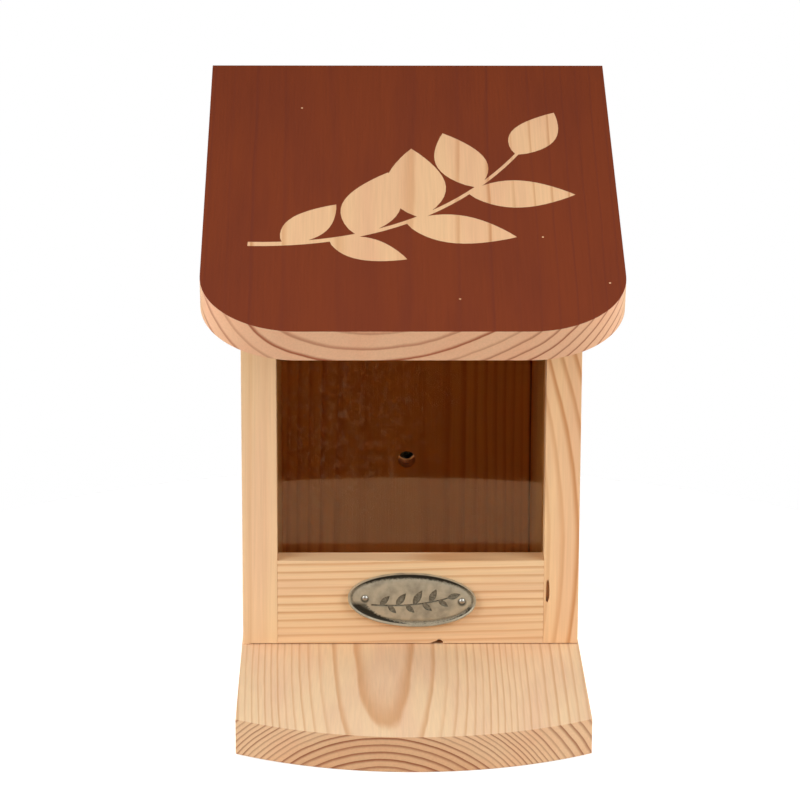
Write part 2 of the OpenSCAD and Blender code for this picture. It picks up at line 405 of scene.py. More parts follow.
# How fine the detail in each of them is, and how strong that detail
WANDER_DETAIL = 4.0
BLUSH_DETAIL = 2.0
FIBRE_DETAIL = 3.0
DETAIL_STRENGTH = 0.55
# Noise seldom leaves the middle quarter of its range
NOISE_SPAN = 4

# Pinker drifts: from and to which noise they grow, and how pink they get
BLUSHING = {"From Min": 0.4, "From Max": 0.7, "To Max": 0.55}
# The drifts on sawn ends, as a part of the paler wood's colour
END_BLUSH = (1.0, 0.88, 0.86)
# Redder wood about the pith, as a part of the paler wood's colour
HEARTWOOD = (0.90, 0.81, 0.75)
HEART_CORE = 0.85
# How squarely a surface cuts the grain where sawn end shows
SAWN = {"From Min": 0.15, "From Max": 0.45}
# Light and dark of the fibres, and the growth lines' height as a part of theirs
FIBRES = {"From Min": 0.3, "From Max": 0.7, "To Min": 0.94, "To Max": 1.03}
LINE_HEIGHT = 0.5
# Growth lines are smoother than the wood between them
LINE_POLISH = 0.08
WOOD_RELIEF = {"Strength": 0.35, "Distance": 0.15 * MM}


def grain_coordinates(tree, cut, board_frame):
    """Coordinates in mm about the pith, Z along the grain, and how squarely a surface cuts it."""
    turn = Euler([math.radians(a) for a in cut.turn_deg]).to_matrix().to_4x4()
    log = board_frame @ Matrix.Translation(Vector(cut.pith_mm) * MM) @ turn
    about, point = mm_within(tree, log)
    along = log.to_3x3() @ Vector((0, 0, 1))
    facing = add(tree, "VectorMath", {0: point.outputs["Normal"], 1: along}, operation="DOT_PRODUCT")
    return about, add(tree, "Math", {0: facing}, operation="ABSOLUTE")


def grain_noise(tree, coordinates, size, detail):
    """Noise stretched along the grain."""
    across, along = size
    spread = (1 / across, 1 / across, 1 / along)
    scaled = add(tree, "VectorMath", {0: coordinates, 1: spread}, operation="MULTIPLY")
    inputs = {"Vector": scaled, "Scale": 1.0, "Detail": detail, "Roughness": DETAIL_STRENGTH}
    return add(tree, "TexNoise", inputs)


def pith_distance(tree, coordinates, cut):
    """Square of the distance from the pith, which wanders and bows along the log."""
    noise = grain_noise(tree, coordinates, WANDER_SIZE, WANDER_DETAIL).outputs["Color"]
    centred = add(tree, "VectorMath", {0: noise, 1: (0.5, 0.5, 0.5)}, operation="SUBTRACT")
    reach = NOISE_SPAN * cut.wander_mm
    inputs = {0: centred, 1: (reach, reach, 0), 2: coordinates}
    strayed = add(tree, "VectorMath", inputs, operation="MULTIPLY_ADD")
    apart = add(tree, "SeparateXYZ", {0: coordinates})
    along = add(tree, "Math", {0: apart.outputs["Z"], 1: 2.0}, operation="POWER")
    bow = Vector((*cut.bow_mm, 0)) / BOW_AT_MM**2
    bowed = add(tree, "VectorMath", {0: along, 1: -bow, 2: strayed}, operation="MULTIPLY_ADD")
    flat = add(tree, "VectorMath", {0: bowed, 1: (1 / cut.oval, 1, 0)}, operation="MULTIPLY")
    return add(tree, "VectorMath", {0: flat, 1: flat}, operation="DOT_PRODUCT")


def ring_count(tree, square, cut):
    """Rings from the pith to a point, as a number with a fraction."""
    power, factor = 0.5, 1 / cut.ring_mm
    if cut.narrows_at_mm:
        power, factor = 1, 0.5 / (cut.ring_mm * cut.narrows_at_mm)
    raised = add(tree, "Math", {0: square, 1: power}, operation="POWER")
    count = add(tree, "Math", {0: raised, 1: factor, 2: cut.phase}, operation="MULTIPLY_ADD")
    if not cut.lean:
        return count
    inner, outer, rings = cut.lean
    inputs = {"Value": square, "From Min": inner**2, "From Max": outer**2, "To Max": rings}
    return add(tree, "Math", {0: count, 1: add(tree, "MapRange", inputs, **SOFT)})


def growth_line(tree, part, weight, rise, fall):
    """Late wood of a ring: it darkens outwards over its rise, then falls off."""
    inputs = {"Value": part, "From Min": DARKEST - rise, "From Max": DARKEST}
    darkens = add(tree, "MapRange", inputs, **SOFT)
    ending = {"From Min": DARKEST, "From Max": DARKEST + fall, "To Min": weight, "To Max": 0.0}
    ends = add(tree, "MapRange", {"Value": part, **ending}, **SOFT)
    return add(tree, "Math", {0: darkens, 1: ends}, operation="MULTIPLY")


def growth_lines(tree, count, cut):
    """Strength of the late wood on planed faces and on sawn ends, different each year."""
    part = add(tree, "Math", {0: count}, operation="FRACT")
    ring = add(tree, "Math", {0: count}, operation="FLOOR")
    year = add(tree, "TexWhiteNoise", {"W": ring}, noise_dimensions="1D")
    weight = add(tree, "MapRange", {"Value": year, "To Min": FAINTEST})
    width = cut.line_mm / cut.ring_mm
    planed = growth_line(tree, part, weight, width, min(FALL_PART * width, 1 - DARKEST))
    sawn = growth_line(tree, part, weight, cut.end_rise, END_FALL)
    return add(tree, "Math", {0: planed, 1: cut.strength}, operation="MULTIPLY"), sawn


# The inside of the bin, through the back board's thickness but short of its outer face
SKIN = 0.3 * MM
BIN_LOW = Vector((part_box("left_side")[1].x - SKIN, PANE_LOW.y, RAIL_LOW.z - SKIN))
BIN_HIGH = Vector((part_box("right_side")[0].x + SKIN, BACK_HIGH.y - SKIN, LID_HIGH.z))
# Depths of the back board from which a point is in a bore or joint
BORED = {"From Min": BACK_LOW.y + SKIN, "From Max": BACK_LOW.y + 3 * SKIN}
# The back board's sloping top end starts at this height and gets no painted shade
TOP_END = BACK_HIGH.z - (BACK_HIGH.y - BACK_LOW.y) * math.tan(LID_SLOPE) - SKIN
# Where the painted shade darkens and browns the wood, from the bin's middle at 0 to its back at 1
INSIDE_SHADE_DEPTH = {"From Min": 0.4, "From Max": 0.77}
# The bores get less of the painted shade than the face
BORE_SHADE = {"To Min": 1.0, "To Max": 0.3}
# Where the open joints beside the back board are, from the middle at 0 to the sides at 1, and how dark
JOINT_FROM = 0.9
JOINT_GRIME = (0.6, 0.36, 0.12)


def bin_inside(tree):
    """Where the inside of the bin is, where the bores and joints of its back are, and a point's place.

    The place runs from -1 to 1 across the bin.
    """
    point = add(tree, "TexCoord").outputs["Object"]
    inputs = {"Vector": point, "Location": (BIN_LOW + BIN_HIGH) / 2, "Scale": (BIN_HIGH - BIN_LOW) / 2}
    place = add(tree, "Mapping", inputs, vector_type="TEXTURE")
    away = add(tree, "VectorMath", {0: place}, operation="ABSOLUTE")
    apart = add(tree, "SeparateXYZ", {0: away}).outputs
    flat = add(tree, "Math", {0: apart["X"], 1: apart["Y"]}, operation="MAXIMUM")
    farthest = add(tree, "Math", {0: flat, 1: apart["Z"]}, operation="MAXIMUM")
    within = add(tree, "Math", {0: farthest, 1: 1.0}, operation="LESS_THAN")
    reach = add(tree, "SeparateXYZ", {0: point}).outputs
    bored = add(tree, "MapRange", {"Value": reach["Y"], **BORED})
    high = add(tree, "Math", {0: reach["Z"], 1: TOP_END}, operation="GREATER_THAN")
    end = add(tree, "Math", {0: bored, 1: high}, operation="MULTIPLY")
    inside = add(tree, "Math", {0: within, 1: end}, operation="SUBTRACT", use_clamp=True)
    return inside, bored, place


def painted_inside_shade(tree, colour):
    """Darkens the wood inside the bin with a brown tone, most of all at the back: painted shade.

    Also gives where the bores and open joints of the back board are, which are rough.
    """
    brown = rgba(bpy.context.scene.feeder_boards.brown)
    inside, bored, place = bin_inside(tree)
    apart = add(tree, "SeparateXYZ", {0: place}).outputs
    deep = add(tree, "MapRange", {"Value": apart["Y"], **INSIDE_SHADE_DEPTH})
    shown = add(tree, "Math", {0: inside, 1: deep}, operation="MULTIPLY")
    shade_outside_bores = add(tree, "MapRange", {"Value": bored, **BORE_SHADE})
    part = add(tree, "Math", {0: shown, 1: shade_outside_bores}, operation="MULTIPLY")
    inside_shaded = add(tree, "Mix", {"Factor": part, "A": colour, "B": brown}, **MULTIPLIED)
    opened = add(tree, "Math", {0: inside, 1: bored}, operation="MULTIPLY")
    aside = add(tree, "Math", {0: apart["X"]}, operation="ABSOLUTE")
    beside = add(tree, "Math", {0: aside, 1: JOINT_FROM}, operation="GREATER_THAN")
    joint = add(tree, "Math", {0: opened, 1: beside}, operation="MULTIPLY")
    return add(tree, "Mix", {"Factor": joint, "A": inside_shaded, "B": rgba(JOINT_GRIME)}, **MULTIPLIED), opened


class Finish(NamedTuple):
    """Colours of a wooden surface between and along the growth lines, its roughness and its shine."""

    early: tuple
    late: tuple
    blush: tuple
    end_early: tuple
    end_late: tuple
    roughness: float
    specular: float


def toned(colour, tint):
    """A colour times a board's tint, as a colour socket takes it."""
    return rgba([c * t for c, t in zip(colour, tint)])


def wood_colours(tree, cut, finish, coordinates, square):
    """Colours of the planed faces and the sawn ends, and the strength of the faces' growth lines."""
    late, end_line = growth_lines(tree, ring_count(tree, square, cut), cut)
    drift = grain_noise(tree, coordinates, BLUSH_SIZE, BLUSH_DETAIL)
    drifted = add(tree, "MapRange", {"Value": drift, **BLUSHING})
    early, line, pink = (toned(c, cut.tint) for c in (finish.early, finish.late, finish.blush))
    end_early, end_late = (toned(c, cut.end_tint) for c in (finish.end_early, finish.end_late))
    pale = add(tree, "Mix", {"Factor": drifted, "A": early, "B": pink}, **MIXED)
    face = add(tree, "Mix", {"Factor": late, "A": pale, "B": line}, **MIXED)
    end_pink = toned(end_early, END_BLUSH)
    end_pale = add(tree, "Mix", {"Factor": drifted, "A": end_early, "B": end_pink}, **MIXED)
    end_dark = toned(end_late, cut.line_tint)
    end = add(tree, "Mix", {"Factor": end_line, "A": end_pale, "B": end_dark}, **MIXED)
    if cut.heart_mm:
        core, rim = (HEART_CORE * cut.heart_mm) ** 2, cut.heart_mm**2
        inputs = {"Value": square, "From Min": core, "From Max": rim, "To Min": 1.0, "To Max": 0.0}
        heart = add(tree, "MapRange", inputs)
        end = add(tree, "Mix", {"Factor": heart, "A": end, "B": rgba(HEARTWOOD)}, **MULTIPLIED)
    return face, end, late


def softwood(name, node, board_frame, finish):
    """Sawn and planed pine or spruce.

    The eye gets straight growth lines on the faces, arcs of the same rings on the ends, a drift
    from yellow to pink along the boards, and fine fibres that break up the shine.
    """
    material, tree = new_tree(name)
    cut = CUTS[node]
    coordinates, squarely = grain_coordinates(tree, cut, board_frame)
    square = pith_distance(tree, coordinates, cut)
    face, end, late = wood_colours(tree, cut, finish, coordinates, square)
    sawn = add(tree, "MapRange", {"Value": squarely, **SAWN}, **SOFT)
    colour = add(tree, "Mix", {"Factor": sawn, "A": face, "B": end}, **MIXED)
    polished = finish.roughness - LINE_POLISH
    dull = add(tree, "MapRange", {"Value": late, "To Min": finish.roughness, "To Max": polished})
    if node in BARE_BOARDS:
        # Painted shade inside the bin
        colour, opened = painted_inside_shade(tree, colour)
        dull = add(tree, "MapRange", {"Value": opened, "To Min": dull, "To Max": 1.0})
    fibre = grain_noise(tree, coordinates, FIBRE_SIZE, FIBRE_DETAIL)
    tone = add(tree, "MapRange", {"Value": fibre, **FIBRES})
    height = add(tree, "Math", {0: late, 1: LINE_HEIGHT, 2: fibre}, operation="MULTIPLY_ADD")
    inputs = {
        "Base Color": add(tree, "VectorMath", {0: colour, "Scale": tone}, operation="SCALE"),
        "Roughness": dull,
        "Specular IOR Level": finish.specular,
        "Normal": add(tree, "Bump", {"Height": height, **WOOD_RELIEF}),
    }
    add(tree, "OutputMaterial", {"Surface": add(tree, "BsdfPrincipled", inputs)})
    return material


def bare_wood(name, node, board_frame=Matrix.Identity(4)):
    """Softwood left bare, with the board settings' colours."""
    boards = bpy.context.scene.feeder_boards
    colours = (boards.early, boards.late, boards.blush, boards.end_early, boards.end_late)
    finish = Finish(*colours, roughness=0.62, specular=0.3)
    return softwood(name, node, board_frame, finish)


def stained_wood():
    """Softwood under a thin satin stain: the grain shows through as streaks of nearly the same brown."""
    lid = bpy.context.scene.feeder_lid
    colours = (lid.stain, lid.stain_late, lid.stain_late, lid.stain, lid.stain_late)
    finish = Finish(*colours, roughness=0.5, specular=0.12)
    return softwood("brown_stain_on_softwood", "lid_board", LID_FRAME, finish)


# Acrylic and steel

# Smears are some 3 mm wide, so 300 to the metre, and gather where hands lift the sheet out
SMEARS = {"Scale": 300.0, "Detail": 4.0, "Roughness": 0.7}
SMEARED = {"From Min": 0.5, "From Max": 0.7}
HANDLED_SPOT = PANE_LOW + Vector((26, 0, 105)) * MM
HANDLED = {"From Min": 18 * MM, "From Max": 60 * MM, "To Min": 1.0, "To Max": 0.2}
# How clear and how rough the sheet is where it is clean and where it is smeared
CLARITY = {"To Min": 1.0, "To Max": 0.945}
HAZE = {"To Min": 0.02, "To Max": 0.06}
ACRYLIC_IOR = 1.52


def clear_acrylic():
    """Extruded acrylic sheet: clear and glossy, with faint hand smears that catch the light."""
    fittings = bpy.context.scene.feeder_fittings
    material, tree = new_tree("clear_acrylic_sheet")
    point = add(tree, "TexCoord").outputs["Object"]
    smear = add(tree, "TexNoise", {"Vector": point, **SMEARS})
    marks = add(tree, "MapRange", {"Value": smear, **SMEARED})
    apart = add(tree, "VectorMath", {0: point, 1: HANDLED_SPOT}, operation="DISTANCE")
    handled = add(tree, "MapRange", {"Value": apart, **HANDLED})
    soiled = add(tree, "Math", {0: marks, 1: handled}, operation="MULTIPLY")
    inputs = {
        # Warm tone: partly the sheet's own, partly painted shade on the bin behind it
        "Base Color": rgba(fittings.acrylic),
        "Roughness": add(tree, "MapRange", {"Value": soiled, **HAZE}),
        "IOR": ACRYLIC_IOR,
        "Transmission Weight": add(tree, "MapRange", {"Value": soiled, **CLARITY}),
        "Specular Tint": rgba(fittings.reflection),
    }
    add(tree, "OutputMaterial", {"Surface": add(tree, "BsdfPrincipled", inputs)})
    return material


# Clouds of 3 mm in the plating, and scratches 0.3 mm apart drawn coarse enough to show, to the metre
CLOUDS = {"Scale": 330.0, "Detail": 3.0}
SCRATCHES = (200, 3300, 3300)
SCRATCHED = {"Scale": 1.0, "Detail": 2.0}
CLOUDED = 0.72
STEEL_SHINE = {"To Min": 0.26, "To Max": 0.46}
STEEL_RELIEF = {"Strength": 0.2, "Distance": 0.04 * MM}


def plated_steel():
    """Zinc-plated steel: a pale grey metal, a little cloudy, with fine rolling scratches along X."""
    material, tree = new_tree("zinc_plated_steel")
    point = add(tree, "TexCoord").outputs["Object"]
    cloud = add(tree, "TexNoise", {"Vector": point, **CLOUDS})
    stretched = add(tree, "VectorMath", {0: point, 1: SCRATCHES}, operation="MULTIPLY")
    scratch = add(tree, "TexNoise", {"Vector": stretched, **SCRATCHED})
    steel = bpy.context.scene.feeder_fittings.steel
    dim = rgba([CLOUDED * c for c in steel])
    inputs = {
        "Base Color": add(tree, "Mix", {"Factor": cloud, "A": rgba(steel), "B": dim}, **MIXED),
        "Metallic": 1.0,
        "Roughness": add(tree, "MapRange", {"Value": cloud, **STEEL_SHINE}),
        "Normal": add(tree, "Bump", {"Height": scratch, **STEEL_RELIEF}),
    }
    add(tree, "OutputMaterial", {"Surface": add(tree, "BsdfPrincipled", inputs)})
    return material


# Meshes

WELD = 0.002 * MM
FLAT_ANGLE = math.radians(0.5)
ARRIS_ANGLE = math.radians(30)
SMOOTH_ANGLE = math.radians(25)
# Round holes have shorter edges than this, so only the boards' own edges are eased
SHORTEST_ARRIS = 1.0 * MM
EASE_STEPS = 3
# Profile of a bevel that is a quarter of a circle
ROUND = 0.5


def carve(piece, cutters):
    """Cuts the closed solids of a bmesh out of a piece."""
    mesh = bpy.data.meshes.new("cutters")
    bmesh.ops.recalc_face_normals(cutters, faces=cutters.faces)
    cutters.to_mesh(mesh)
    cutters.free()
    tool = bpy.data.objects.new("cutters", mesh)
    bpy.context.scene.collection.objects.link(tool)
    modifier = piece.modifiers.new("carved", "BOOLEAN")
    modifier.object = tool
    modifier.use_self = True
    whole = piece.data
    carved = bpy.data.meshes.new_from_object(piece.evaluated_get(bpy.context.evaluated_depsgraph_get()))
    piece.modifiers.remove(modifier)
    piece.data = carved
    carved.name = piece.name
    bpy.data.objects.remove(tool)
    bpy.data.meshes.remove(mesh)
    bpy.data.meshes.remove(whole)


def piece_from(bm, name, body, replaced, materials, cutters=None):
    """Turns a bmesh into a piece of the feeder that stands for CAD nodes and rides on a body."""
    mesh = bpy.data.meshes.new(name)
    bm.to_mesh(mesh)
    bm.free()
    for material in materials:
        mesh.materials.append(material)
    piece = bpy.data.objects.new(name, mesh)
    bpy.context.scene.collection.objects.link(piece)
    if cutters:
        carve(piece, cutters)
    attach(piece, body)
    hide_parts(*replaced)
    return piece


def mark_smooth(bm):
    """Shades faces smooth, with sharp edges wherever the surface turns by more than the smooth angle."""
    for face in bm.faces:
        face.smooth = True
    for edge in bm.edges:
        edge.smooth = edge.is_manifold and edge.calc_face_angle() < SMOOTH_ANGLE


def eased_solid(node, ease):
    """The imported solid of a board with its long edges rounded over."""
    bm = bmesh.new()
    bm.from_mesh(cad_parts[node].data)
    bmesh.ops.remove_doubles(bm, verts=bm.verts, dist=WELD)
    bmesh.ops.dissolve_limit(bm, angle_limit=FLAT_ANGLE, verts=bm.verts, edges=bm.edges)
    arrises = [
        e
        for e in bm.edges
        if e.is_manifold and e.calc_length() > SHORTEST_ARRIS and e.calc_face_angle() > ARRIS_ANGLE
    ]
    bmesh.ops.bevel(
        bm,
        geom=arrises,
        offset=ease,
        segments=EASE_STEPS,
        profile=ROUND,
        affect="EDGES",
        clamp_overlap=True,
    )
    mark_smooth(bm)
    return bm


def weigh_normals(piece):
    """Keeps large faces flat beside their rounded edges."""
    modifier = piece.modifiers.new("flat_faces", "WEIGHTED_NORMAL")
    modifier.keep_sharp = True


def bridge(bm, lower, upper):
    """Quads between two closed rings of vertices."""
    count = len(lower)
    for i in range(count):
        j = (i + 1) % count
        bm.faces.new((lower[i], lower[j], upper[j], upper[i]))


def prism(bm, outline, place, low, high):
    """Adds a closed prism over an outline in a frame's XY plane."""
    rings = [[bm.verts.new(place @ Vector((*point, z))) for point in outline] for z in (low, high)]
    bridge(bm, *rings)
    bm.faces.new(list(reversed(rings[0])))
    bm.faces.new(rings[1])


ARC_STEPS = 24


def lid_outline(inset):
    """Points round the lid in its own plane, counter-clockwise from the back right corner."""
    corner = bpy.context.scene.feeder_lid.corner
    half = (LID_HIGH.x - LID_LOW.x) / 2
    points = [Vector((half - inset, -inset)), Vector((inset - half, -inset))]
    for side, start in ((-1, math.pi), (1, 1.5 * math.pi)):
        centre = Vector((side * (half - corner), corner - LID_LENGTH))
        for k in range(ARC_STEPS + 1):
            angle = start + 0.5 * math.pi * k / ARC_STEPS
            points.append(centre + (corner - inset) * Vector((math.cos(angle), math.sin(angle))))
    return points


LEAF_STEPS = 14
# Powers that move a leaf's widest place towards its base and blunt its ends
LEAF_BELLY = 0.85
LEAF_BLUNT = 0.9


def leaf(base, angle, length, width):
    """Outline of a pointed leaf that starts at base and points along an angle."""
    along = Vector((math.cos(angle), math.sin(angle)))
    across = Vector((-along.y, along.x))
    shares = [k / LEAF_STEPS for k in range(LEAF_STEPS + 1)]
    halves = [0.5 * width * math.sin(math.pi * s**LEAF_BELLY) ** LEAF_BLUNT for s in shares]
    right = [base + s * length * along - h * across for s, h in zip(shares, halves)]
    left = [base + s * length * along + h * across for s, h in zip(shares, halves)]
    return right[:-1] + list(reversed(left))[:-1]


def bend(start, pull, end, share):
    """A point of a quadratic curve and its direction there."""
    a = start.lerp(pull, share)
    b = pull.lerp(end, share)
    return a.lerp(b, share), (b - a).normalized()


STEM_STEPS = 24


class Sprig(NamedTuple):
    """A leafy stem in mm: three points of its curve, its half widths, and its leaves.

    Each leaf has its share of the stem, turn from the stem in degrees, length and width.
    """

    start: tuple
    pull: tuple
    end: tuple
    half_widths: tuple
    leaves: tuple


LID_SPRIG = Sprig(
    start=(-69, -149),
    pull=(6, -152),
    end=(47, -76),
    half_widths=(1.6, 0.8),
    leaves=(
        (0.10, 50, 38, 18),
        (0.24, -38, 36, 17),
        (0.33, 55, 52, 25),
        (0.50, -46, 48, 22),
        (0.55, 57, 56, 26),
        (0.75, -50, 46, 22),
        (0.79, 56, 47, 22),
        (0.99, 2, 40, 20),
    ),
)


def sprig_outlines(sprig):
    """Outlines of a sprig's stem and leaves in metres."""
    start, pull, end = (Vector(point) * MM for point in (sprig.start, sprig.pull, sprig.end))
    thick, thin = sprig.half_widths
    left, right = [], []
    for k in range(STEM_STEPS + 1):
        share = k / STEM_STEPS
        point, way = bend(start, pull, end, share)
        across = Vector((-way.y, way.x)) * (thick + (thin - thick) * share) * MM
        left.append(point + across)
        right.append(point - across)
    outlines = [right + list(reversed(left))]
    for share, turn, length, width in sprig.leaves:
        point, way = bend(start, pull, end, share)
        angle = math.atan2(way.y, way.x) + math.radians(turn)
        outlines.append(leaf(point, angle, length * MM, width * MM))
    return outlines


# Places on the lid in mm where a speck of wood took no stain, and their radius
SPECKS = ((19.0, -190.6), (81.2, -178.7), (55.0, -143.7), (-47.4, -37.8))
SPECK_RADIUS = 0.5
SPECK_STEPS = 7


def specks():
    """Outlines of the unstained specks in metres."""
    turns = [2 * math.pi * k / SPECK_STEPS for k in range(SPECK_STEPS)]
    rims = [SPECK_RADIUS * Vector((math.cos(a), math.sin(a))) for a in turns]
    return [[(Vector(middle) + rim) * MM for rim in rims] for middle in SPECKS]


# The triangulation keeps what lies inside the outlines, and takes points this near for one
INSIDE_ONLY = 1
SAME_POINT = 1e-7


def patterned_cap(bm, ring, outline, figures, height, plain, figure):
    """Closes a ring with a flat face cut along figures, one material inside them and one outside."""
    points = list(outline)
    faces = [list(range(len(outline)))]
    for shape in figures:
        faces.append(list(range(len(points), len(points) + len(shape))))
        points.extend(shape)
    cut = delaunay_2d_cdt(points, [], faces, INSIDE_ONLY, SAME_POINT)
    places, _, triangles, sources, _, owners = cut
    known = {}
    for i, source in enumerate(sources):
        rim = [s for s in source if s < len(outline)]
        known[i] = ring[rim[0]] if rim else bm.verts.new(LID_FRAME @ Vector((*places[i], height)))
    for triangle, owner in zip(triangles, owners):
        face = bm.faces.new([known[i] for i in triangle])
        face.material_index = figure if any(o > 0 for o in owner) else plain


def lid_solid(ease):
    """The lid board with rounded arrises, its top cut along the sprig."""
    bare, stained = 0, 1
    bm = bmesh.new()
    steps = range(EASE_STEPS + 1)
    turns = [0.5 * math.pi * k / EASE_STEPS for k in steps]
    levels = [(ease * (1 - math.sin(a)), ease * (1 - math.cos(a))) for a in turns]
    levels += [(inset, LID_THICKNESS - z) for inset, z in reversed(levels)]
    rings = []
    for inset, z in levels:
        rings.append([bm.verts.new(LID_FRAME @ Vector((p.x, p.y, z))) for p in lid_outline(inset)])
    for lower, upper in zip(rings, rings[1:]):
        bridge(bm, lower, upper)
    side = len(bm.faces) - EASE_STEPS * len(rings[0])
    bm.faces.ensure_lookup_table()
    for face in bm.faces[side:]:
        face.material_index = stained
    bm.faces.new(list(reversed(rings[0])))
    figures = sprig_outlines(LID_SPRIG) + specks()
    patterned_cap(bm, rings[-1], lid_outline(ease), figures, LID_THICKNESS, stained, bare)
    bm.normal_update()
    mark_smooth(bm)
    return bm


# Profile of the plate in mm: inset from its edge, height over the rail, and how far it is moved up
PLATE_PROFILE = (
    (0.0, 0.0, 0.0),
    (0.0, 1.8, 0.0),
    (0.1, 2.2, 0.0),
    (0.3, 2.45, 0.0),
    (0.55, 2.4, 0.1),
    (0.8, 2.1, 0.25),
    (1.0, 1.7, 0.35),
    (1.25, 1.35, 0.45),
    (2.0, 1.35, 0.45),
    (2.6, 1.6, 0.2),
    (3.1, 1.76, 0.0),
    (4.2, 1.83, 0.0),
    (7.0, 1.9, 0.0),
    (9.5, 1.94, 0.0),
)
OVAL_STEPS = 96
PLATE_TWIG = Sprig(
    start=(-17.5, -2.6),
    pull=(1, -3.4),
    end=(15.5, 1.6),
    half_widths=(0.45, 0.3),
    leaves=(
        (0.10, 48, 6.0, 2.7),
        (0.20, -44, 5.0, 2.3),
        (0.30, 52, 7.0, 3.0),
        (0.42, -46, 5.2, 2.4),
        (0.52, 54, 7.4, 3.2),
        (0.64, -48, 5.4, 2.5),
        (0.74, 54, 6.6, 3.0),
        (0.86, -46, 5.0, 2.4),
        (0.99, 0, 6.0, 2.8),
    ),
)
# Height of the engraving's floor over the rail, and a height clear of the plate
TWIG_FLOOR = 1.3 * MM
OVER_PLATE = 4 * MM


def twig_cutters():
    """Prisms that engrave a twig in the plate's field."""
    bm = bmesh.new()
    for outline in sprig_outlines(PLATE_TWIG):
        prism(bm, outline, plate_frame(), TWIG_FLOOR, OVER_PLATE)
    return bm


def plate_frame():
    """Frame of the plate: X along it, Z out of the rail, origin on the rail's face."""
    middle = (PLATE_LOW + PLATE_HIGH) / 2
    tilt = bpy.context.scene.feeder_plate.tilt
    turn = Matrix.Rotation(tilt, 4, "Y") @ Matrix.Rotation(math.pi / 2, 4, "X")
    return Matrix.Translation((middle.x, RAIL_LOW.y, middle.z)) @ turn


def plate_solid():
    """The oval plate: a rounded rim, a hollow inside it and a slightly domed field."""
    plate = bpy.context.scene.feeder_plate
    place = plate_frame()
    bm = bmesh.new()
    rings = []
    for inset, height, rise in PLATE_PROFILE:
        ring = []
        for k in range(OVAL_STEPS):
            angle = 2 * math.pi * k / OVAL_STEPS
            x = (plate.width / 2 - inset * MM) * math.cos(angle)
            y = (plate.height / 2 - inset * MM) * math.sin(angle) + rise * MM
            ring.append(bm.verts.new(place @ Vector((x, y, height * MM))))
        rings.append(ring)
    for lower, upper in zip(rings, rings[1:]):
        bridge(bm, lower, upper)
    bm.faces.new(list(reversed(rings[0])))
    bm.faces.new(rings[-1])
    bm.normal_update()
    mark_smooth(bm)
    return bm


# Casting grain of 0.8 mm and stains of 5 mm, as their number to the mm
CASTING = {"Scale": 1.2, "Detail": 4.0, "Roughness": 0.65}
STAINS = {"Scale": 0.2, "Detail": 3.0}
STAINED = {"From Min": 0.42, "From Max": 0.7, "To Max": 0.4}
# Heights over the rail in mm where oxide fills the hollows, and how far the grain frays its edge
HOLLOW = {"From Min": 1.35, "From Max": 1.63, "To Min": 1.0, "To Max": 0.0}
HOLLOW_FRAY = 0.3
# Oxide and painted shade by the rim, which is at 1 from the middle: how far the grain frays it, and how
# much further in it comes on the left; then how far down it starts, and up to which height it stands
RIM_FRAY = 0.16
LEFT_SPREAD = -0.25
CRESCENT = {"From Min": 0.955, "From Max": 1.02}
LOWER = {"From Min": -0.06, "From Max": -0.28}
BELOW_RIM = {"From Min": 1.8, "From Max": 2.1, "To Min": 1.0, "To Max": 0.0}
# Painted shade on the top of the rim, and how it tapers off to both sides
BROW_TAPER = 0.25
BROW = {"From Min": 1.1, "From Max": 1.18}
# Middle between the nails, a little below their heads, half the distance between them, and the
# painted shadow round them, in mm on the plate
NAIL_MIDDLE = (0.6, -0.1, 0)
NAIL_REACH = 20.95
NAIL_RING = {"From Min": 1.4, "From Max": 2.3, "To Min": 0.85, "To Max": 0.0}
# The rim's outer wall is rubbed clean
WALL = {"From Min": 0.982, "From Max": 0.995, "To Min": 1.0, "To Max": 0.0}
# How rough and how metallic the bare zinc and the oxide are, and the painted shade with it
ZINC_SHINE = {"To Min": 0.42, "To Max": 0.8}
ZINC_METAL = {"To Min": 0.45, "To Max": 0.2}
ZINC_RELIEF = {"Strength": 0.4, "Distance": 0.12 * MM}


def rim_oxide_and_shade(tree, oval, reach, height, grain):
    """Oxide all along the lower rim, far wider at the left, partly painted shade; and painted shade on
    the rim's top.
    """
    ragged = add(tree, "Math", {0: grain, 1: RIM_FRAY, 2: reach}, operation="MULTIPLY_ADD")
    apart = add(tree, "SeparateXYZ", {0: oval}).outputs
    upward = add(tree, "Math", {0: apart["Y"], 1: reach}, operation="DIVIDE")
    left = add(tree, "Math", {0: apart["X"], 1: 0.0}, operation="MINIMUM")
    leftward = add(tree, "Math", {0: left, 1: LEFT_SPREAD, 2: ragged}, operation="MULTIPLY_ADD")
    # The crescent along the lower rim: oxide together with painted shade
    far = add(tree, "MapRange", {"Value": leftward, **CRESCENT})
    below = add(tree, "MapRange", {"Value": height, **BELOW_RIM})
    within = add(tree, "Math", {0: far, 1: below}, operation="MULTIPLY")
    lower = add(tree, "MapRange", {"Value": upward, **LOWER})
    crescent = add(tree, "Math", {0: within, 1: lower}, operation="MULTIPLY")
    # Painted shade on the rim's top, where its inner wall faces down
    tapered = add(tree, "Math", {0: upward, 1: BROW_TAPER, 2: ragged}, operation="MULTIPLY_ADD")
    brow = add(tree, "MapRange", {"Value": tapered, **BROW})
    return add(tree, "Math", {0: crescent, 1: brow}, operation="MAXIMUM")


def nail_shadow(tree, about):
    """Rings of painted shadow round the two nails, a little more below them than above."""
    # Painted shadow of the nail heads
    moved = add(tree, "VectorMath", {0: about, 1: NAIL_MIDDLE}, operation="SUBTRACT")
    flat = add(tree, "VectorMath", {0: moved, 1: (1, 1, 0)}, operation="MULTIPLY")
    folded = add(tree, "VectorMath", {0: flat}, operation="ABSOLUTE")
    nail = add(tree, "VectorMath", {0: folded, 1: (NAIL_REACH, 0, 0)}, operation="DISTANCE")
    return add(tree, "MapRange", {"Value": nail, **NAIL_RING})


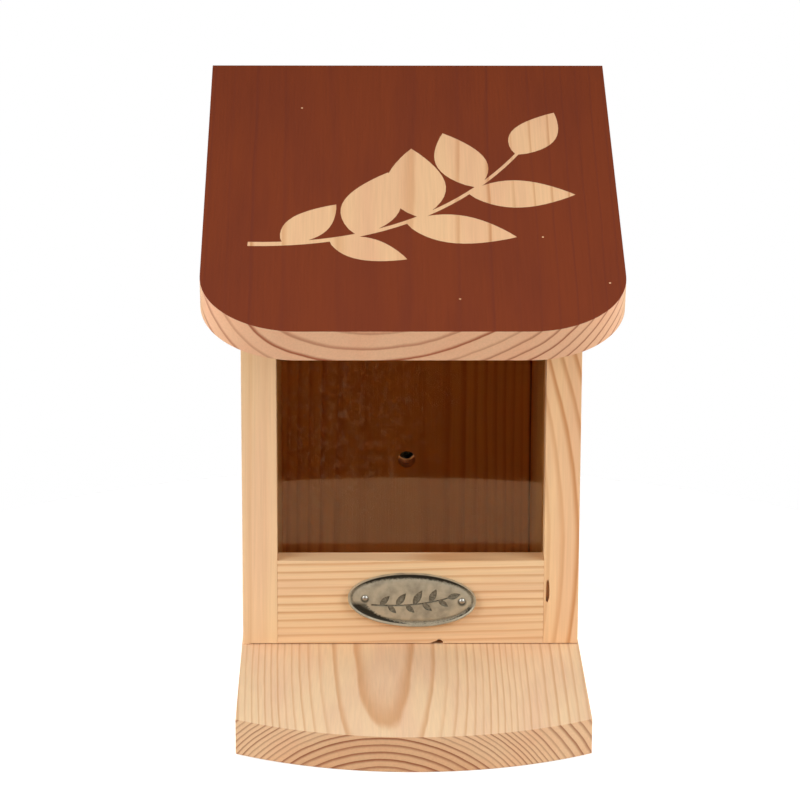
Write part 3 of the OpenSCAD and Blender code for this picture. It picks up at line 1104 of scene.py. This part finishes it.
def oxide_and_shade(tree, about, grain):
    """How much oxide covers each part of the plate, with the painted shade on the rim and round the
    nails.
    """
    plate = bpy.context.scene.feeder_plate
    height = add(tree, "SeparateXYZ", {0: about}).outputs["Z"]
    shares = (2 * MM / plate.width, 2 * MM / plate.height, 0)
    oval = add(tree, "VectorMath", {0: about, 1: shares}, operation="MULTIPLY")
    reach = add(tree, "VectorMath", {0: oval}, operation="LENGTH")
    level = add(tree, "Math", {0: grain, 1: HOLLOW_FRAY, 2: height}, operation="MULTIPLY_ADD")
    oxide_and_painted_shade = add(tree, "MapRange", {"Value": level, **HOLLOW})
    for patch in (rim_oxide_and_shade(tree, oval, reach, height, grain), nail_shadow(tree, about)):
        oxide_and_painted_shade = add(tree, "Math", {0: oxide_and_painted_shade, 1: patch}, operation="MAXIMUM")
    wall = add(tree, "MapRange", {"Value": reach, **WALL})
    kept = add(tree, "Math", {0: oxide_and_painted_shade, 1: wall}, operation="MULTIPLY")
    stains = add(tree, "TexNoise", {"Vector": about, **STAINS})
    dirt = add(tree, "MapRange", {"Value": stains, **STAINED})
    return add(tree, "Math", {0: kept, 1: dirt}, operation="MAXIMUM")


def aged_zinc():
    """Cast zinc with age on it: rubbed pale grey where fingers reach, nearly black in the hollows, with
    painted shade on the rim and round the nails.
    """
    plate = bpy.context.scene.feeder_plate
    material, tree = new_tree("aged_cast_zinc")
    about, _ = mm_within(tree, plate_frame())
    grain = add(tree, "TexNoise", {"Vector": about, **CASTING})
    shade = oxide_and_shade(tree, about, grain)
    colours = {"A": rgba(plate.zinc), "B": rgba(plate.patina)}
    inputs = {
        "Base Color": add(tree, "Mix", {"Factor": shade, **colours}, **MIXED),
        "Metallic": add(tree, "MapRange", {"Value": shade, **ZINC_METAL}),
        "Roughness": add(tree, "MapRange", {"Value": shade, **ZINC_SHINE}),
        "Normal": add(tree, "Bump", {"Height": grain, **ZINC_RELIEF}),
    }
    add(tree, "OutputMaterial", {"Surface": add(tree, "BsdfPrincipled", inputs)})
    return material


# Marks of making and use on the boards

FRONT_FRAME = Matrix.Translation((0, RAIL_LOW.y, 0)) @ Matrix.Rotation(math.pi / 2, 4, "X")
BASE_TOP = RAIL_LOW.z
# Outlines on the front faces in mm, across and up from the base board's top, with their depth
TORN_CHIP = ((6.4, -0.1), (14.2, -0.1), (14.1, 1.2), (12.6, 2.4), (10.6, 1.3), (8.6, 0.7))
CHIP_DEPTH = 5 * MM
PITCH_POCKET = (
    (58.5, 19.8),
    (59.2, 18.9),
    (60.0, 21.0),
    (60.1, 24.5),
    (59.8, 28.2),
    (59.2, 29.5),
    (58.6, 28.0),
)
POCKET_DEPTH = 3 * MM
# The boards do not quite meet: an open seam along the base, and one in the right back corner
BASE_SEAM = 0.5 * MM
BASE_SEAM_DEPTH = 1.2 * MM
BASE_SEAM_START = 3 * MM
CORNER_SEAM = 0.8 * MM
CORNER_SEAM_DEPTH = 3 * MM
CLEAR = 1 * MM


def front_cut(bm, outline, depth):
    """Adds a prism that cuts an outline into the front faces."""
    raised = [Vector(point) * MM + Vector((0, BASE_TOP)) for point in outline]
    prism(bm, raised, FRONT_FRAME, -depth, CLEAR)


def seam_cut(bm, low, high):
    """Adds a box that cuts an open seam between two corners."""
    outline = ((low[0], low[1]), (high[0], low[1]), (high[0], high[1]), (low[0], high[1]))
    prism(bm, outline, Matrix.Identity(4), low[2], high[2])


def board_cutters(node):
    """The marks of one board as cutters, or nothing."""
    bm = bmesh.new()
    low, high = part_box(node)
    if node in ("front_rail", "left_side", "right_side"):
        start = low.x + (BASE_SEAM_START if node == "left_side" else -CLEAR)
        end = (high.x + CLEAR, low.y + BASE_SEAM_DEPTH, low.z + BASE_SEAM)
        seam_cut(bm, (start, low.y - CLEAR, low.z - CLEAR), end)
    if node == "front_rail":
        front_cut(bm, TORN_CHIP, CHIP_DEPTH)
    if node == "right_side":
        front_cut(bm, PITCH_POCKET, POCKET_DEPTH)
    if node == "back_board":
        end = (high.x + CLEAR, low.y + CORNER_SEAM_DEPTH, high.z + CLEAR)
        seam_cut(bm, (high.x - CORNER_SEAM, low.y - CLEAR, low.z - CLEAR), end)
    return bm if bm.faces else None


# Operators

STEEL_NODES = (
    "left_hinge_box_leaf",
    "right_hinge_box_leaf",
    "left_hinge_lid_leaf",
    "right_hinge_lid_leaf",
    "left_hinge_pin",
    "right_hinge_pin",
    "hinge_box_screws",
    "hinge_lid_screws",
    "plate_nails",
    "base_screws",
    "rail_screws",
    "back_screws",
)


class FEEDER_OT_boards(bpy.types.Operator):
    """Make the five bare boards of the box with eased arrises"""

    bl_idname = "feeder.boards"
    bl_label = "Boards"

    def execute(self, context):
        ease = context.scene.feeder_boards.ease
        for node in BARE_BOARDS:
            material = bare_wood("planed_softwood_" + node, node)
            bm = eased_solid(node, ease)
            cutters = board_cutters(node)
            piece = piece_from(bm, node + "_wood", BOX_BODY, [node], [material], cutters)
            weigh_normals(piece)
        return {"FINISHED"}


class FEEDER_OT_lid(bpy.types.Operator):
    """Make the sloping lid, stained on top around a bare sprig"""

    bl_idname = "feeder.lid"
    bl_label = "Lid"

    def execute(self, context):
        bm = lid_solid(context.scene.feeder_boards.ease)
        materials = [bare_wood("planed_softwood_lid", "lid_board", LID_FRAME), stained_wood()]
        piece = piece_from(bm, "lid_board_stained", LID_BODY, ["lid_board"], materials)
        weigh_normals(piece)
        return {"FINISHED"}


class FEEDER_OT_window(bpy.types.Operator):
    """Make the clear sheet behind the rail"""

    bl_idname = "feeder.window"
    bl_label = "Window"

    def execute(self, context):
        bm = eased_solid("window_pane", context.scene.feeder_boards.ease)
        sheet = [clear_acrylic()]
        piece = piece_from(bm, "window_sheet", BOX_BODY, ["window_pane"], sheet)
        weigh_normals(piece)
        return {"FINISHED"}


class FEEDER_OT_plate(bpy.types.Operator):
    """Make the oval plate on the rail"""

    bl_idname = "feeder.plate"
    bl_label = "Plate"

    def execute(self, context):
        bm = plate_solid()
        cutters = twig_cutters()
        piece_from(bm, "front_plate_cast", BOX_BODY, ["front_plate"], [aged_zinc()], cutters)
        return {"FINISHED"}


class FEEDER_OT_fittings(bpy.types.Operator):
    """Finish the hinges, screws and nails in plated steel"""

    bl_idname = "feeder.fittings"
    bl_label = "Fittings"

    def execute(self, context):
        steel = plated_steel()
        for node in STEEL_NODES:
            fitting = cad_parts[node]
            fitting.data.materials.clear()
            fitting.data.materials.append(steel)
        return {"FINISHED"}


# Stage

# Where the panels look
LIT_MIDDLE = Vector((0, 0, 110 * MM))
# The panels: azimuth from the front and elevation in degrees, distance and size in metres, and power
PANELS = {
    "top_panel": (0, 86, 0.62, (0.8, 0.5), "top_power"),
    "front_panel": (0, 30, 0.7, (0.8, 0.3), "front_power"),
    "left_panel": (-55, 22, 0.7, (0.4, 0.6), "side_power"),
    "right_panel": (55, 22, 0.7, (0.4, 0.6), "side_power"),
    "rear_left_panel": (-118, 6, 0.7, (0.5, 0.5), "rear_power"),
    "rear_right_panel": (118, 6, 0.7, (0.5, 0.5), "rear_power"),
    "sheen_strip": (180, 58, 0.5, (0.6, 0.15), "sheen_power"),
}
# The floor lies this far below the feeder, so that their faces don't coincide
FLOOR_DROP = 0.2 * MM
FLOOR_STEPS = 160
# The board's tooth is drawn 1 mm wide, coarser than it is
TOOTH = 900.0
TOOTH_LOW = linear("#F3F3F3")
TOOTH_HIGH = linear("#F7F7F7")
WHITE = linear("#FFFFFF")
# The photograph's floor is burnt out to white, so the eye gets more light from it than the feeder does
FLOOR_GLOW = 0.4
# The studio's own light starts at the horizon
HORIZON = {"From Min": -0.02, "From Max": 0.08}
SENSOR_WIDTH = 36


def softbox(name, azimuth, elevation, distance, size, watts):
    """A rectangular light that looks at the feeder from a direction; azimuth 0 is the front."""
    a, e = math.radians(azimuth), math.radians(elevation)
    away = Vector((math.sin(a) * math.cos(e), -math.cos(a) * math.cos(e), math.sin(e)))
    light = bpy.data.lights.new(name, "AREA")
    light.shape = "RECTANGLE"
    light.size, light.size_y = size
    light.energy = watts
    lamp = bpy.data.objects.new(name, light)
    lamp.location = LIT_MIDDLE + distance * away
    lamp.rotation_euler = (-away).to_track_quat("-Z", "Y").to_euler()
    lamp.visible_camera = False
    bpy.context.scene.collection.objects.link(lamp)


def white_board():
    """Matt white board: even and pale, with a faint tooth."""
    material, tree = new_tree("matt_white_board")
    point = add(tree, "TexCoord").outputs["Object"]
    tooth = add(tree, "TexNoise", {"Vector": point, "Scale": TOOTH})
    tones = {"A": rgba(TOOTH_LOW), "B": rgba(TOOTH_HIGH)}
    seen = add(tree, "LightPath").outputs["Is Camera Ray"]
    inputs = {
        "Base Color": add(tree, "Mix", {"Factor": tooth, **tones}, **MIXED),
        "Roughness": 0.9,
        "Specular IOR Level": 0.1,
        "Emission Color": rgba(WHITE),
        "Emission Strength": add(tree, "Math", {0: seen, 1: FLOOR_GLOW}, operation="MULTIPLY"),
    }
    add(tree, "OutputMaterial", {"Surface": add(tree, "BsdfPrincipled", inputs)})
    return material


def make_floor(stage):
    """A plain round floor under the feeder."""
    bm = bmesh.new()
    place = Matrix.Translation((0, stage.floor_y, -FLOOR_DROP))
    radius = stage.floor_radius
    bmesh.ops.create_circle(bm, cap_ends=True, radius=radius, segments=FLOOR_STEPS, matrix=place)
    mesh = bpy.data.meshes.new("floor")
    bm.to_mesh(mesh)
    bm.free()
    mesh.materials.append(white_board())
    floor = bpy.data.objects.new("floor", mesh)
    bpy.context.scene.collection.objects.link(floor)


def make_world(ambient):
    """A white studio behind the feeder that gives only a little light of its own."""
    world = bpy.data.worlds.new("studio")
    world.use_nodes = True
    tree = world.node_tree
    tree.nodes.clear()
    way = add(tree, "TexCoord").outputs["Generated"]
    apart = add(tree, "SeparateXYZ", {0: way}).outputs
    above = add(tree, "MapRange", {"Value": apart["Z"], "To Max": ambient, **HORIZON})
    dim = add(tree, "Background", {"Color": rgba(WHITE), "Strength": above})
    white = add(tree, "Background", {"Color": rgba(WHITE), "Strength": 1.0})
    seen = add(tree, "LightPath").outputs["Is Camera Ray"]
    both = add(tree, "MixShader", {0: seen, 1: dim, 2: white})
    add(tree, "OutputWorld", {"Surface": both})
    bpy.context.scene.world = world


def make_camera(stage):
    """The camera at the photograph's angle."""
    yaw, pitch, roll = stage.camera_turn
    ahead = Vector((math.sin(yaw) * math.cos(pitch), math.cos(yaw) * math.cos(pitch), -math.sin(pitch)))
    level = Vector((math.cos(yaw), -math.sin(yaw), 0))
    above = level.cross(ahead)
    right = math.cos(roll) * level + math.sin(roll) * above
    up = math.cos(roll) * above - math.sin(roll) * level
    data = bpy.data.cameras.new("camera")
    data.sensor_width = SENSOR_WIDTH
    data.lens = stage.lens
    camera = bpy.data.objects.new("camera", data)
    turn = Matrix((right, up, -ahead)).transposed().to_4x4()
    camera.matrix_world = Matrix.Translation(stage.camera_place) @ turn
    bpy.context.scene.collection.objects.link(camera)
    bpy.context.scene.camera = camera


class FEEDER_OT_stage(bpy.types.Operator):
    """Set up the floor, the light and the camera"""

    bl_idname = "feeder.stage"
    bl_label = "Stage"

    def execute(self, context):
        stage = context.scene.feeder_stage
        make_floor(stage)
        make_world(stage.ambient)
        for name, (azimuth, elevation, distance, size, power) in PANELS.items():
            softbox(name, azimuth, elevation, distance, size, getattr(stage, power))
        make_camera(stage)
        context.scene.view_settings.view_transform = "Standard"
        return {"FINISHED"}


class FEEDER_PT_panel(bpy.types.Panel):
    """Lists the feeder's settings and pieces"""

    bl_idname = "FEEDER_PT_panel"
    bl_label = "Squirrel feeder"
    bl_space_type = "VIEW_3D"
    bl_region_type = "UI"
    bl_category = "Feeder"

    def draw(self, context):
        layout = self.layout
        for name in GROUPS:
            group = getattr(context.scene, name)
            box = layout.box()
            for setting in group.bl_rna.properties:
                if setting.identifier not in {"rna_type", "name"}:
                    box.prop(group, setting.identifier)
        for operator in OPERATORS:
            layout.operator(operator.bl_idname)


GROUPS = {
    "feeder_boards": FeederBoards,
    "feeder_lid": FeederLid,
    "feeder_plate": FeederPlate,
    "feeder_fittings": FeederFittings,
    "feeder_stage": FeederStage,
}
OPERATORS = (
    FEEDER_OT_stage,
    FEEDER_OT_boards,
    FEEDER_OT_lid,
    FEEDER_OT_window,
    FEEDER_OT_plate,
    FEEDER_OT_fittings,
)


def register():
    for group in GROUPS.values():
        bpy.utils.register_class(group)
    for name, group in GROUPS.items():
        setattr(bpy.types.Scene, name, PointerProperty(type=group))
    for operator in OPERATORS:
        bpy.utils.register_class(operator)
    bpy.utils.register_class(FEEDER_PT_panel)


def unregister():
    bpy.utils.unregister_class(FEEDER_PT_panel)
    for operator in reversed(OPERATORS):
        bpy.utils.unregister_class(operator)
    for name in GROUPS:
        delattr(bpy.types.Scene, name)
    for group in GROUPS.values():
        bpy.utils.unregister_class(group)


def main():
    register()
    bpy.ops.feeder.stage()
    bpy.ops.feeder.boards()
    bpy.ops.feeder.lid()
    bpy.ops.feeder.window()
    bpy.ops.feeder.plate()
    bpy.ops.feeder.fittings()


if __name__ == "__main__":
    main()
